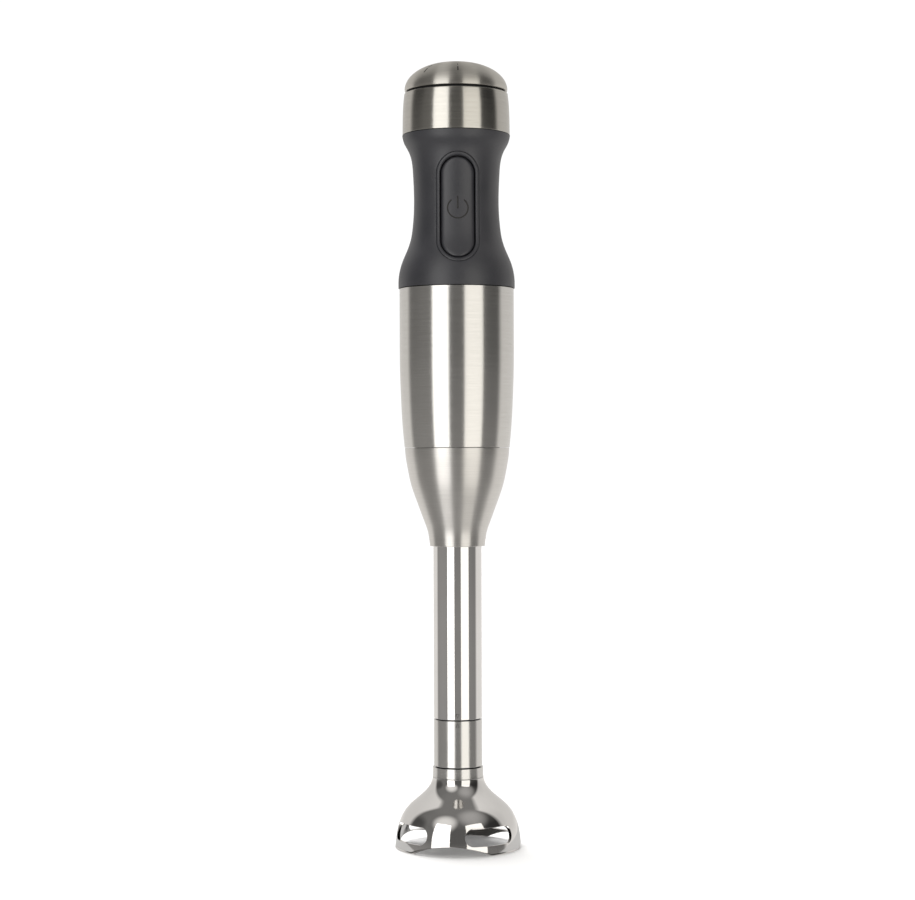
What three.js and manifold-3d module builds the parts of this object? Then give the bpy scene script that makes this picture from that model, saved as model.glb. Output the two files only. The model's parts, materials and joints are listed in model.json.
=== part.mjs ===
// Immersion (stick) blender: a handle with a speed dial and a power button, a steel motor body,
// a detachable blending arm, and a detachable bell with an S-shaped blade.
// Millimetres, +Z up. The origin is on the axis, in the plane of the bell's feet, and the front,
// where the power button is, faces -Y. An angle round the axis is counted from the front towards +X.
import * as THREE from "three";
import { mergeVertices } from "three/addons/utils/BufferGeometryUtils.js";
import Module from "manifold-3d";

const wasm = await Module();
wasm.setup();

// ---------------------------------------------------------------- driving dimensions
const GAP = 0.3; // left between pieces that touch
const FINE = 28; // sides of the large outer shells
const PLAIN = 16; // sides of the inner rings
const SMALL = 10; // sides of shafts, pins and screws

// Heights of the seams between the outer pieces, from the feet up
const BELL_TOP = 42.6;
const BELL_SEAM = 67.7;
const FUNNEL_FOOT = 158.6;
const ARM_SEAM = 210.7;
const GRIP_FOOT = 294.5;
const GRIP_TOP = 374.9;
const COLLAR_TOP = 396.9;
const DIAL_FOOT = 398.2;
const DIAL_SHOULDER = 399.3;
const DIAL_RISE = 14.2;

// Radii and walls
const TUBE_RADIUS = 12.7;
const TUBE_WALL = 1;
const SHAFT_RADIUS = 3;
const DIAL_RADIUS = 27.15;
const DIAL_WALL = 1.2;
const SHEET_WALL = 0.9; // stainless sleeves and bands
const SHELL_WALL = 1.6; // funnel and bell
const GRIP_WALL = 1.8;
const FRAME_WALL = 1.8;

// Outlines, as [radius, height] from the bottom up
const BELL_OUTLINE = [
  [33, 0], [33.1, 3], [32, 9], [30.6, 13.6], [28.5, 18], [25.2, 22], [21.6, 25],
  [17.8, 28.3], [15.1, 31.8], [13.6, 35.4], [13.25, 38.5], [13.25, BELL_TOP - GAP],
];
const FUNNEL_OUTLINE = [
  [14.5, FUNNEL_FOOT], [15.4, 165.5], [17.2, 171], [20.9, 181],
  [24.3, 191], [26.4, 201], [27.2, 206], [27.5, ARM_SEAM - GAP],
];
const SLEEVE_OUTLINE = [
  [27.7, ARM_SEAM + GAP], [28.75, 222], [29.6, 238], [30.05, 252], [30.15, GRIP_FOOT - 1.1],
];
const GRIP_OUTLINE = [
  [30.7, GRIP_FOOT], [30.6, 299.5], [29.9, 304], [28.4, 309], [26.4, 314], [24.5, 320],
  [23.4, 327], [22.7, 335], [22.6, 345], [23, 355], [24.2, 364], [25.9, 368], [27.7, 371],
  [28.5, GRIP_TOP],
];
const COLLAR_OUTLINE = [[28.3, GRIP_TOP + GAP], [28.05, 386], [27.3, COLLAR_TOP]];

// Power button: an upright stadium let into the front of the grip
const BUTTON_WIDTH = 17.7;
const BUTTON_HEIGHT = 52.7;
const BUTTON_CENTRE = 335.1;
const BUTTON_TRAVEL = 1.5;
const PLUNGER_TIP = -11.7; // the switch plunger's front end, on Y

// Bell cut-outs
const ARCH_ANGLES = [-10, 110, 230];
const ARCH_HALF_WIDTH = 20.4;
const ARCH_RISE = 5;
const SLOT_ANGLES = [32, 122, 212, 302];
const SLOT_WIDTH = 26.6;
const SLOT_HEIGHT = 10;
const SLOT_CENTRE = 10.2;

// Motor
const STATOR_FOOT = 236;
const STATOR_TOP = 266;
const STATOR_RADIUS = 27;
const POLE_RADIUS = 16.5;
const SLOT_RADIUS = 23.5;
const POLE_HALF_ANGLE = 50;
const FAN_BLADES = 7;

// ---------------------------------------------------------------- materials
const finish = (color, roughness, metalness) =>
  new THREE.MeshStandardMaterial({ color, roughness, metalness });
const brushedSteel = finish(0xb9b7b2, 0.32, 1);
const satinSteel = finish(0xb4b0a8, 0.42, 1);
const polishedSteel = finish(0xcfcdc8, 0.12, 1);
const softGrip = finish(0x3c3c3f, 0.75, 0);
const blackPlastic = finish(0x1b1b1d, 0.5, 0);
const rubber = finish(0x161616, 0.85, 0);
const lamination = finish(0x55565a, 0.55, 0.8);
const copper = finish(0xb4632f, 0.35, 1);
const brass = finish(0xc8a255, 0.35, 1);
const carbon = finish(0x232325, 0.8, 0.2);
const circuitGreen = finish(0x1f5a35, 0.6, 0);
const componentBlue = finish(0x2a4a7a, 0.5, 0);
const steel = finish(0xa9abad, 0.3, 1);
const aluminium = finish(0xb6b9bd, 0.4, 1);

// ---------------------------------------------------------------- solids
const radians = THREE.MathUtils.degToRad;

function solid(geometry) {
  const bare = geometry.index ? geometry.toNonIndexed() : geometry.clone();
  for (const name of Object.keys(bare.attributes)) {
    if (name !== "position") bare.deleteAttribute(name);
  }
  const merged = mergeVertices(bare, 1e-4);
  return new wasm.Manifold(new wasm.Mesh({
    numProp: 3,
    vertProperties: merged.attributes.position.array,
    triVerts: new Uint32Array(merged.index.array),
  }));
}

function surface(manifold) {
  const mesh = manifold.getMesh();
  const geometry = new THREE.BufferGeometry();
  geometry.setAttribute("position", new THREE.BufferAttribute(mesh.vertProperties, 3));
  geometry.setIndex(new THREE.BufferAttribute(mesh.triVerts, 1));
  geometry.computeVertexNormals();
  return geometry;
}

const union = (...geometries) =>
  surface(geometries.map(solid).reduce((whole, piece) => whole.add(piece)));
const cut = (geometry, ...tools) =>
  surface(tools.map(solid).reduce((whole, tool) => whole.subtract(tool), solid(geometry)));
const common = (first, second) => surface(solid(first).intersect(solid(second)));

// An outline of [radius, height] turned round the axis: it closes on itself, unless both its
// ends lie on the axis
function turned(outline, sides) {
  const onAxis = outline[0][0] === 0 && outline.at(-1)[0] === 0;
  const loop = onAxis ? outline : [...outline, outline[0]];
  const points = loop.map(([radius, height]) => new THREE.Vector2(radius, height));
  if (THREE.ShapeUtils.area(points) < 0) points.reverse();
  return new THREE.LatheGeometry(points, sides).rotateX(Math.PI / 2);
}

const ring = (inner, outer, low, high, sides = PLAIN) =>
  turned([[inner, low], [outer, low], [outer, high], [inner, high]], sides);

const rod = (radius, low, high, sides = SMALL) =>
  new THREE.CylinderGeometry(radius, radius, high - low, sides)
    .rotateX(Math.PI / 2)
    .translate(0, 0, (low + high) / 2);

const crossRod = (radius, front, back, x, z, sides = SMALL) =>
  new THREE.CylinderGeometry(radius, radius, back - front, sides)
    .translate(x, (front + back) / 2, z);

const block = (lowX, highX, lowY, highY, lowZ, highZ) =>
  new THREE.BoxGeometry(highX - lowX, highY - lowY, highZ - lowZ)
    .translate((lowX + highX) / 2, (lowY + highY) / 2, (lowZ + highZ) / 2);

// The outline moved inwards, square to itself
function inset(outline, depth) {
  return outline.map(([radius, height], i) => {
    const [r0, z0] = outline[Math.max(i - 1, 0)];
    const [r1, z1] = outline[Math.min(i + 1, outline.length - 1)];
    const length = Math.hypot(r1 - r0, z1 - z0);
    const atEnd = i === 0 || i === outline.length - 1;
    return atEnd
      ? [radius - depth, height]
      : [radius - (depth * (z1 - z0)) / length, height + (depth * (r1 - r0)) / length];
  });
}

// Every other point of an outline, with both its ends: enough for the faces that don't show
const plainer = (outline) =>
  outline.filter((point, i) => i % 2 === 0 || i === outline.length - 1);

const shell = (outline, wall, sides = FINE) =>
  turned([...outline, ...plainer(inset(outline, wall)).reverse()], sides);

// An upright stadium in the XZ plane, running along Y from front to back
function stadium(width, height, front, back, centre, arcSteps = 6) {
  const r = Math.min(width, height) / 2;
  const dx = width / 2 - r;
  const dz = height / 2 - r;
  const shape = new THREE.Shape();
  if (height > width) {
    shape.absarc(0, dz, r, 0, Math.PI);
    shape.absarc(0, -dz, r, Math.PI, 2 * Math.PI);
  } else {
    shape.absarc(dx, 0, r, -Math.PI / 2, Math.PI / 2);
    shape.absarc(-dx, 0, r, Math.PI / 2, 1.5 * Math.PI);
  }
  return new THREE.ExtrudeGeometry(shape, {
    depth: back - front,
    bevelEnabled: false,
    curveSegments: arcSteps,
  }).rotateX(Math.PI / 2).translate(0, back, centre);
}

// The part of a ring between two angles
function sector(inner, outer, low, high, fromDegrees, toDegrees, steps = 4) {
  const from = radians(fromDegrees) - Math.PI / 2;
  const to = radians(toDegrees) - Math.PI / 2;
  const shape = new THREE.Shape();
  shape.absarc(0, 0, outer, from, to, false);
  shape.absarc(0, 0, inner, to, from, true);
  return new THREE.ExtrudeGeometry(shape, {
    depth: high - low,
    bevelEnabled: false,
    curveSegments: steps,
  }).translate(0, 0, low);
}

const group = new THREE.Group();

function place(parent, name, geometry, material) {
  const mesh = new THREE.Mesh(geometry, material);
  mesh.name = name;
  parent.add(mesh);
}

function assembly() {
  const parent = new THREE.Group();
  group.add(parent);
  return parent;
}

// ---------------------------------------------------------------- speed dial
function domeOutline(radius, rise) {
  const steps = 6;
  const outline = [[radius - 0.2, DIAL_FOOT]];
  for (let i = 0; i < steps; i += 1) {
    const share = Math.sin((i / steps) * (Math.PI / 2));
    outline.push([radius * (1 - share ** 1.9) ** (1 / 2.3), DIAL_SHOULDER + rise * share]);
  }
  return [...outline, [0, DIAL_SHOULDER + rise]];
}

function makeDial() {
  const dial = assembly();
  const outside = domeOutline(DIAL_RADIUS, DIAL_RISE);
  const inside = domeOutline(DIAL_RADIUS - DIAL_WALL, DIAL_RISE - DIAL_WALL);
  place(dial, "dial_cap", turned([...inside.reverse(), ...outside], FINE), brushedSteel);
  place(dial, "dial_hub", turned(
    [[SHAFT_RADIUS + GAP, 398.4], [24.5, 398.4], [23.5, 401], [8, 403], [8, 408.5],
      [SHAFT_RADIUS + GAP, 408.5]], PLAIN), blackPlastic);
  place(dial, "dial_shaft", rod(SHAFT_RADIUS, 382, 408), steel);
}

// ---------------------------------------------------------------- head of the handle
function makeHead() {
  const head = assembly();
  const glandHeight = 386;
  const glandHole = crossRod(5.6, 20, 36, 0, glandHeight, PLAIN);
  place(head, "collar_band", cut(shell(COLLAR_OUTLINE, SHEET_WALL), glandHole), brushedSteel);
  place(head, "top_frame", cut(turned(
    [[23.6, 376], [26.9, 376], [26.7, 386], [26, 397.4], [9, 397.4], [3.6, 395],
      [3.6, 392.8], [23.6, 392.8]], FINE), glandHole), blackPlastic);
  place(head, "cord_gland", cut(
    union(
      crossRod(5.2, 20, 32.2, 0, glandHeight, PLAIN),
      crossRod(6.6, 20, 22, 0, glandHeight, PLAIN)),
    crossRod(3.6, 19, 34, 0, glandHeight)), rubber);
  place(head, "potentiometer", cut(
    union(ring(SHAFT_RADIUS + GAP, 8.5, 381, 391, PLAIN), block(-7, 7, 3.6, 11, 382, 390)),
    rod(SHAFT_RADIUS + GAP, 380, 392, SMALL)), componentBlue);
}

// ---------------------------------------------------------------- grip
// A layer of the grip between two depths below its surface
function gripLayer(outer, inner) {
  const outside = outer === 0 ? GRIP_OUTLINE : plainer(inset(GRIP_OUTLINE, outer));
  return turned([...outside, ...plainer(inset(GRIP_OUTLINE, inner)).reverse()], FINE);
}

function buttonOpening(margin) {
  return stadium(BUTTON_WIDTH + 2 * margin, BUTTON_HEIGHT + 2 * margin, -40, -10, BUTTON_CENTRE);
}

function makeGrip() {
  const grip = assembly();
  const frameDepth = GRIP_WALL + GAP;
  const coverLimits = block(-40, 40, -40, 40, GRIP_FOOT, GRIP_TOP);
  place(grip, "grip_cover",
    cut(common(gripLayer(0, GRIP_WALL), coverLimits), buttonOpening(GAP)), softGrip);
  const frame = gripLayer(frameDepth, frameDepth + FRAME_WALL);
  const reach = turned(
    [[0.5, GRIP_FOOT], ...plainer(inset(GRIP_OUTLINE, frameDepth)), [0.5, GRIP_TOP]], FINE);
  const screwHeight = 302;
  const screwPlaces = [17.5, -17.5];
  const halfFrame = (near, far) => {
    const side = block(-40, 40, near, far, GRIP_FOOT + 1.5, GRIP_TOP - 0.6);
    const bosses = screwPlaces.map((x) => common(crossRod(3.2, -30, 30, x, screwHeight), reach));
    const bores = screwPlaces.map((x) => crossRod(1.5, -40, 40, x, screwHeight, 8));
    return cut(common(union(frame, ...bosses), side), buttonOpening(GAP), ...bores);
  };
  place(grip, "handle_frame_front", halfFrame(-40, -GAP / 2), blackPlastic);
  place(grip, "handle_frame_rear", halfFrame(GAP / 2, 40), blackPlastic);
  screwPlaces.forEach((x, i) => {
    place(grip, `frame_screw_${i + 1}`, crossRod(1.2, -9, 12, x, screwHeight, 8), steel);
  });
}

// ---------------------------------------------------------------- power button and its switch
function makeButton() {
  const button = assembly();
  const pad = stadium(BUTTON_WIDTH, BUTTON_HEIGHT, -40, -10, BUTTON_CENTRE);
  place(button, "power_button", common(gripLayer(0.7, 4), pad), softGrip);
  const flange = stadium(BUTTON_WIDTH + 3, BUTTON_HEIGHT + 3, -40, -10, BUTTON_CENTRE);
  place(button, "button_carrier", union(
    common(gripLayer(4.3, 6), flange),
    crossRod(2.5, -17.5, PLUNGER_TIP - GAP, 0, BUTTON_CENTRE)), blackPlastic);
  const contacts = assembly();
  place(contacts, "switch_plunger",
    crossRod(1.5, PLUNGER_TIP, -6.5, 0, BUTTON_CENTRE, 8), blackPlastic);
}

function makeButtonSpring(parent) {
  const turns = 4;
  const front = -15.4;
  const back = -10;
  const coilRadius = 4;
  const points = [];
  const steps = turns * 6;
  for (let i = 0; i <= steps; i += 1) {
    const angle = (i / steps) * turns * 2 * Math.PI;
    const y = front + ((back - front) * i) / steps;
    points.push(new THREE.Vector3(
      coilRadius * Math.cos(angle), y, BUTTON_CENTRE + coilRadius * Math.sin(angle)));
  }
  const wire = new THREE.Shape().absarc(0, 0, 0.35, 0, 2 * Math.PI);
  place(parent, "button_spring", new THREE.ExtrudeGeometry(wire, {
    extrudePath: new THREE.CatmullRomCurve3(points),
    steps,
    curveSegments: 2,
    bevelEnabled: false,
  }), steel);
}

function makeElectronics() {
  const parts = assembly();
  place(parts, "switch_body", cut(
    block(-6.5, 6.5, -9.2, 8.7, BUTTON_CENTRE - 10, BUTTON_CENTRE + 10),
    crossRod(1.8, -12, -4.4, 0, BUTTON_CENTRE)), blackPlastic);
  makeButtonSpring(parts);
  place(parts, "control_board", block(-13.5, 13.5, 9, 10.6, 300, 368), circuitGreen);
  place(parts, "filter_capacitor", block(-11, 3, 2, 8.7, 303, 319), componentBlue);
  place(parts, "heat_sink", union(
    block(4.8, 10.8, 2.6, 8.7, 302, 320),
    ...[4.8, 7.1, 9.4].map((x) => block(x, x + 1.4, -1.6, 2.8, 302, 320))), aluminium);
}

// ---------------------------------------------------------------- motor body
function makeMotorBody() {
  const body = assembly();
  place(body, "motor_sleeve", shell(SLEEVE_OUTLINE, SHEET_WALL), brushedSteel);
  place(body, "motor_liner", turned(
    [[27.4, 232], [28.1, 232], [28.8, 252], [28.9, 290], [27.4, 290]], FINE), blackPlastic);
  const bracketLeg = (low, high) => [
    block(-6, 6, 24.2, 25.6, low, high),
    block(-6, 6, -25.6, -24.2, low, high),
  ];
  place(body, "lower_motor_bracket", union(
    ring(9.3, 26.2, 214.3, 217.8), ...bracketLeg(217, STATOR_FOOT - GAP)), aluminium);
  place(body, "upper_motor_bracket", union(
    ring(9.3, 27, 286, 289.4), ...bracketLeg(STATOR_TOP + GAP, 287)), aluminium);
  place(body, "lower_bearing", ring(4.3, 9, 214.3, 219), steel);
  place(body, "upper_bearing", ring(4.3, 9, 286, 291), steel);
  place(body, "motor_damper", ring(18, 27, 289.8, 293), rubber);
  place(body, "stator_core", makeStator(), lamination);
  for (const [name, centre] of [["field_coil_right", 90], ["field_coil_left", 270]]) {
    const reach = 36;
    place(body, name, cut(
      sector(17.2, 23.1, 229, 273, centre - POLE_HALF_ANGLE - reach, centre + POLE_HALF_ANGLE + reach, 9),
      sector(10, 30, STATOR_FOOT - 0.5, STATOR_TOP + 0.5,
        centre - POLE_HALF_ANGLE - 3, centre + POLE_HALF_ANGLE + 3, 5)), copper);
  }
  for (const [name, side] of [["right", 1], ["left", -1]]) {
    const span = (from, to) => [Math.min(side * from, side * to), Math.max(side * from, side * to)];
    place(body, `brush_holder_${name}`, cut(
      block(...span(12, 25), -4.6, 4.6, 276.4, 285.4),
      block(...span(10, 27), -3, 3, 278, 283.8)), brass);
    place(body, `carbon_brush_${name}`, block(...span(10.1, 19), -2.7, 2.7, 278.3, 283.5), carbon);
  }
}

// Two poles on the X axis, with room for their coils beside them
function makeStator() {
  const outline = new THREE.Shape().absarc(0, 0, STATOR_RADIUS, 0, 2 * Math.PI);
  const pole = radians(POLE_HALF_ANGLE);
  const bore = new THREE.Path();
  bore.absarc(0, 0, POLE_RADIUS, -pole, pole);
  bore.absarc(0, 0, SLOT_RADIUS, pole, Math.PI - pole);
  bore.absarc(0, 0, POLE_RADIUS, Math.PI - pole, Math.PI + pole);
  bore.absarc(0, 0, SLOT_RADIUS, Math.PI + pole, 2 * Math.PI - pole);
  outline.holes.push(bore);
  return new THREE.ExtrudeGeometry(outline, {
    depth: STATOR_TOP - STATOR_FOOT,
    bevelEnabled: false,
    curveSegments: 7,
  }).translate(0, 0, STATOR_FOOT);
}

function makeRotor() {
  const rotor = assembly();
  const bore = 4.3;
  const windingBore = 6;
  place(rotor, "motor_shaft", union(rod(4, 206, 293), rod(SHAFT_RADIUS, 200.3, 207)), steel);
  place(rotor, "armature_core",
    ring(windingBore + GAP, POLE_RADIUS - 0.5, STATOR_FOOT, STATOR_TOP), lamination);
  place(rotor, "armature_windings", union(
    turned([[bore, 229.5], [9, 229.5], [14.5, 232], [14.5, 235.7], [bore, 235.7]], PLAIN),
    ring(bore, windingBore, 235, 267),
    turned([[bore, 266.3], [14.5, 266.3], [14.5, 270], [9, 273.5], [bore, 273.5]], PLAIN)), copper);
  place(rotor, "commutator", ring(bore, 9.7, 275, 285.4), copper);
  const vanes = [];
  for (let i = 0; i < FAN_BLADES; i += 1) {
    vanes.push(block(7, 20.5, -0.8, 0.8, 221, 227).rotateZ((i * 2 * Math.PI) / FAN_BLADES));
  }
  place(rotor, "cooling_fan", union(
    ring(bore, 8, 220, 228), ring(7.5, 21.5, 220, 221.6), ...vanes), blackPlastic);
  place(rotor, "motor_drive_dog", dog(SHAFT_RADIUS + GAP, 200, 204.4, -4.7), steel);
}

// A disc with two teeth on its lower or upper face: the teeth of a mating pair interleave, with
// enough free play for the twist that unlocks the pair
function dog(bore, low, high, toothReach) {
  const down = toothReach < 0;
  const toothLow = down ? low + toothReach : high - 0.5;
  const toothHigh = down ? low + 0.5 : high + toothReach;
  const teeth = [0, 180].map((turn) => {
    const centre = down ? turn : turn + 90;
    return sector(3.8, 7, toothLow, toothHigh, centre - 19, centre + 19, 3);
  });
  return union(ring(bore, 7, low, high), ...teeth);
}

// ---------------------------------------------------------------- coupling between body and arm
function makeArmCoupling() {
  const base = assembly();
  const noseRadius = 22.4;
  const lugs = [90, 270].map((angle) => sector(20, 23.6, 198, 201, angle - 14, angle + 14, 3));
  place(base, "handle_base", union(
    ring(12, noseRadius, 196, 213), ring(12, 26.3, ARM_SEAM + GAP, 213.9), ...lugs), blackPlastic);
  place(base, "coupling_seal", turned(
    [[22.8, 205], [24.3, 205], [24.3, 206.8], [22.8, 206.8]], PLAIN), rubber);
  place(assembly(), "arm_lock_ring", ring(12.4, 22, 192.2, 195.6), steel);
}

// ---------------------------------------------------------------- blending arm
function makeArm() {
  const arm = assembly();
  place(arm, "arm_funnel", shell(FUNNEL_OUTLINE, SHELL_WALL), satinSteel);
  place(arm, "arm_tube",
    ring(TUBE_RADIUS - TUBE_WALL, TUBE_RADIUS, BELL_SEAM + GAP, 170, FINE), polishedSteel);
  place(arm, "arm_adapter", turned(
    [[4.6, 150], [11.3, 150], [11.3, 171], [14, 172.4], [17.2, 180], [20.6, 187],
      [21.2, 190.2], [6, 190.2], [6, 178], [4.6, 176]], PLAIN), blackPlastic);
  const bore = SHAFT_RADIUS + GAP;
  place(arm, "upper_shaft_bushing", ring(bore, 5.7, 178.3, 190), brass);
  place(arm, "lower_shaft_bushing", ring(bore, 11.3, 84, 98), brass);
  const shaft = assembly();
  place(shaft, "arm_drive_shaft",
    union(rod(SHAFT_RADIUS, 68.3, 194.4), dog(SHAFT_RADIUS - 0.5, 68, 72.2, -4.7)), steel);
  place(shaft, "arm_drive_dog", dog(bore, 190.6, 194.7, 4.8), steel);
}

// ---------------------------------------------------------------- bell and blade
// A cutter that runs out from the axis, seen from outside as a low arch on the ground
function archCutter(angle) {
  const radius = (ARCH_HALF_WIDTH ** 2 + ARCH_RISE ** 2) / (2 * ARCH_RISE);
  const half = Math.asin(ARCH_HALF_WIDTH / radius);
  const shape = new THREE.Shape();
  shape.moveTo(ARCH_HALF_WIDTH, -3);
  shape.absarc(0, ARCH_RISE - radius, radius, Math.PI / 2 - half, Math.PI / 2 + half);
  shape.lineTo(-ARCH_HALF_WIDTH, -3);
  return new THREE.ExtrudeGeometry(shape, { depth: 30, bevelEnabled: false, curveSegments: 6 })
    .rotateX(Math.PI / 2)
    .translate(0, -10, 0)
    .rotateZ(radians(angle));
}

const slotCutter = (angle) =>
  stadium(SLOT_WIDTH, SLOT_HEIGHT, -40, -18, SLOT_CENTRE, 4).rotateZ(radians(angle));

// An S-shaped blade: two opposed wings that sweep back and turn their tips up and down
function makeBlade() {
  const wing = (turn, tilt) => {
    const shape = new THREE.Shape();
    shape.moveTo(-4.5, -4);
    shape.quadraticCurveTo(4, -7.5, 14, -5);
    shape.quadraticCurveTo(19, -3.5, 21, 2.5);
    shape.quadraticCurveTo(15, 2, 10, 3.2);
    shape.quadraticCurveTo(4, 4.6, -4.5, 4);
    return new THREE.ExtrudeGeometry(shape, { depth: 1.4, bevelEnabled: false, curveSegments: 4 })
      .translate(0, 0, -0.7)
      .rotateY(radians(tilt))
      .rotateZ(radians(turn))
      .translate(0, 0, 13.2);
  };
  return cut(union(wing(60, 9), wing(240, -9), rod(6, 12.3, 14.1)), rod(2.8, 5, 20));
}

function makeBell() {
  const bell = assembly();
  const guard = shell(BELL_OUTLINE, SHELL_WALL);
  place(bell, "bell_guard", cut(
    guard, ...ARCH_ANGLES.map(archCutter), ...SLOT_ANGLES.map(slotCutter)), polishedSteel);
  place(bell, "bell_neck",
    ring(TUBE_RADIUS - TUBE_WALL, TUBE_RADIUS, BELL_TOP + GAP, BELL_SEAM - GAP, FINE), polishedSteel);
  const lugs = [0, 180].map((angle) => sector(8, 11.5, 74, 76, angle - 15, angle + 15, 3));
  place(bell, "bell_spigot", union(ring(7.8, 11.2, 53.5, 78), ...lugs), blackPlastic);
  place(bell, "blade_bearing_block", turned(
    [[5.8, 31], [11.2, 33], [11.2, 53], [5.8, 53]], PLAIN), blackPlastic);
  place(bell, "blade_bushing", ring(SHAFT_RADIUS + GAP, 5.5, 34, 52), brass);
  place(bell, "blade_seal", turned(
    [[3.4, 26.5], [7, 26.5], [9.6, 29.4], [9.6, 30.7], [3.4, 30.7]], PLAIN), rubber);
  place(assembly(), "bell_lock_ring", ring(7.8, 11.3, 78.5, 82.5), steel);
  const cutter = assembly();
  place(cutter, "blade_shaft", union(
    rod(SHAFT_RADIUS, 16.2, 62.2),
    rod(2.5, 9, 17),
    dog(SHAFT_RADIUS - 0.5, 58.4, 62.4, 4.8)), steel);
  place(cutter, "blade", makeBlade(), polishedSteel);
  place(cutter, "blade_nut", cut(rod(4.8, 8.8, 11.4, 6), rod(2.8, 8, 13)), steel);
}

makeDial();
makeHead();
makeGrip();
makeButton();
makeElectronics();
makeMotorBody();
makeRotor();
makeArmCoupling();
makeArm();
makeBell();

export default group;
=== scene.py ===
# Immersion blender: fine meshes, finishes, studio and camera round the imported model.
# Lengths are millimetres in the constants and metres (times MM) in the meshes, apart from the
# studio's, which have their own note. An angle round the axis is counted in degrees from the front
# (-Y) towards +X.
import json
import math

import bmesh
import bpy
import numpy as np
from mathutils import Matrix, Vector


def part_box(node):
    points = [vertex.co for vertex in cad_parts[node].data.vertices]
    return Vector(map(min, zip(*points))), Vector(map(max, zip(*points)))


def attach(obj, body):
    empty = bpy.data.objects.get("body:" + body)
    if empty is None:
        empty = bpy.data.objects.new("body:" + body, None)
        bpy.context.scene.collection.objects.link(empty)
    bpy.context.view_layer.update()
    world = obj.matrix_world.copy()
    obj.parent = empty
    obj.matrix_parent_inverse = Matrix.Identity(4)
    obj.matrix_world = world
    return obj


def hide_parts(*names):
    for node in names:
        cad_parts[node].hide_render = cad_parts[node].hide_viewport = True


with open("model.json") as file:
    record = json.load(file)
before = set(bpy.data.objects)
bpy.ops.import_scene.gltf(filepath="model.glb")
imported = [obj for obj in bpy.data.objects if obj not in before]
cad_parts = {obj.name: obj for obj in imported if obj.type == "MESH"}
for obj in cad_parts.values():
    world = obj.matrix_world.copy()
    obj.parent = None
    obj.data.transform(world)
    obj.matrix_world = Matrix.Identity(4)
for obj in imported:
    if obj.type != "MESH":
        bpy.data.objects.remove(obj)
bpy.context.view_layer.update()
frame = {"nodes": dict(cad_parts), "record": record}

MM = 0.001
SIDES = 192  # round the large shells
RING_SIDES = 96  # round the small rings
SHEET = 0.9  # the thickness of the collar and the sleeve


# ------------------------------------------------------------------ sizes taken from the frame
def low(node):
    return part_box(node)[0].z / MM


def high(node):
    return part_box(node)[1].z / MM


SEAM = 0.15  # between the sleeve and the funnel
SLEEVE_GAP = 0.3  # between the sleeve and the grip
BELL_FOOT = low("bell_guard")
BELL_TOP = high("bell_guard")
NECK_FOOT = low("bell_neck")
NECK_TOP = high("bell_neck")
TUBE_FOOT = low("arm_tube")
FUNNEL_FOOT = low("arm_funnel")
FUNNEL_TOP = high("arm_funnel")
SLEEVE_FOOT = FUNNEL_TOP + SEAM
GRIP_FOOT = low("grip_cover")
SLEEVE_TOP = GRIP_FOOT - SLEEVE_GAP
GRIP_TOP = high("grip_cover")
COLLAR_FOOT = low("collar_band")
COLLAR_TOP = high("collar_band")
DIAL_FOOT = low("dial_cap")
DIAL_TOP = high("dial_cap")
TUBE_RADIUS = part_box("arm_tube")[1].x / MM
DIAL_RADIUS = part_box("dial_cap")[1].x / MM
BUTTON_WIDTH = 2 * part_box("power_button")[1].x / MM
BUTTON_HEIGHT = high("power_button") - low("power_button")
BUTTON_CENTRE = (high("power_button") + low("power_button")) / 2

# Outlines as (radius, height), from the bottom up
BELL_OUTLINE = [
    (33.3, BELL_FOOT), (32.95, 3), (32.4, 7.2), (31.0, 13.2), (28.85, 18), (25.8, 22),
    (22.4, 25), (18.5, 28.3), (15.4, 31.8), (13.75, 35.2), (13.3, 38.3), (13.25, BELL_TOP),
]
FUNNEL_OUTLINE = [
    (14.5, FUNNEL_FOOT), (14.85, 162), (15.6, 166.3), (17.2, 171), (20.9, 181),
    (24.3, 191), (26.4, 201), (27.2, 206), (27.5, FUNNEL_TOP),
]
SLEEVE_OUTLINE = [
    (27.7, SLEEVE_FOOT), (28.75, 222), (29.6, 238), (30.05, 252), (30.15, 270), (30.15, SLEEVE_TOP),
]
GRIP_OUTLINE = [
    (30.7, GRIP_FOOT), (30.6, 299.5), (29.9, 304), (28.35, 309), (26.2, 314), (24.15, 320),
    (23.05, 327), (22.45, 335), (22.4, 345), (22.85, 355), (24.1, 364), (25.8, 368),
    (27.6, 371.4), (28.45, GRIP_TOP),
]
COLLAR_OUTLINE = [(28.3, COLLAR_FOOT), (28.15, 386), (27.75, 393), (27.3, COLLAR_TOP)]


# ------------------------------------------------------------------ outlines
def spline(points, count):
    """A natural cubic curve through the points, sampled evenly along its length."""
    p = np.array(points, float)
    t = np.concatenate([[0], np.cumsum(np.hypot(*np.diff(p, axis=0).T))])
    h = np.diff(t)
    n = len(t)
    system = np.eye(n)
    right = np.zeros((n, 2))
    for i in range(1, n - 1):
        system[i, i - 1:i + 2] = h[i - 1], 2 * (h[i - 1] + h[i]), h[i]
        right[i] = 6 * ((p[i + 1] - p[i]) / h[i] - (p[i] - p[i - 1]) / h[i - 1])
    bend = np.linalg.solve(system, right)
    at = np.linspace(0, t[-1], count)
    k = np.clip(np.searchsorted(t, at, side="right") - 1, 0, n - 2)
    a = ((t[k + 1] - at) / h[k])[:, None]
    b = ((at - t[k]) / h[k])[:, None]
    curved = ((a ** 3 - a) * bend[k] + (b ** 3 - b) * bend[k + 1]) * (h[k] ** 2)[:, None] / 6
    return a * p[k] + b * p[k + 1] + curved


def inset(outline, depth):
    """The outline moved inwards, square to itself."""
    p = np.array(outline, float)
    slope = np.gradient(p, axis=0)
    slope /= np.linalg.norm(slope, axis=1)[:, None]
    slope[0] = slope[-1] = (0, 1)
    return p + depth * np.stack([-slope[:, 1], slope[:, 0]], axis=1)


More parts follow.
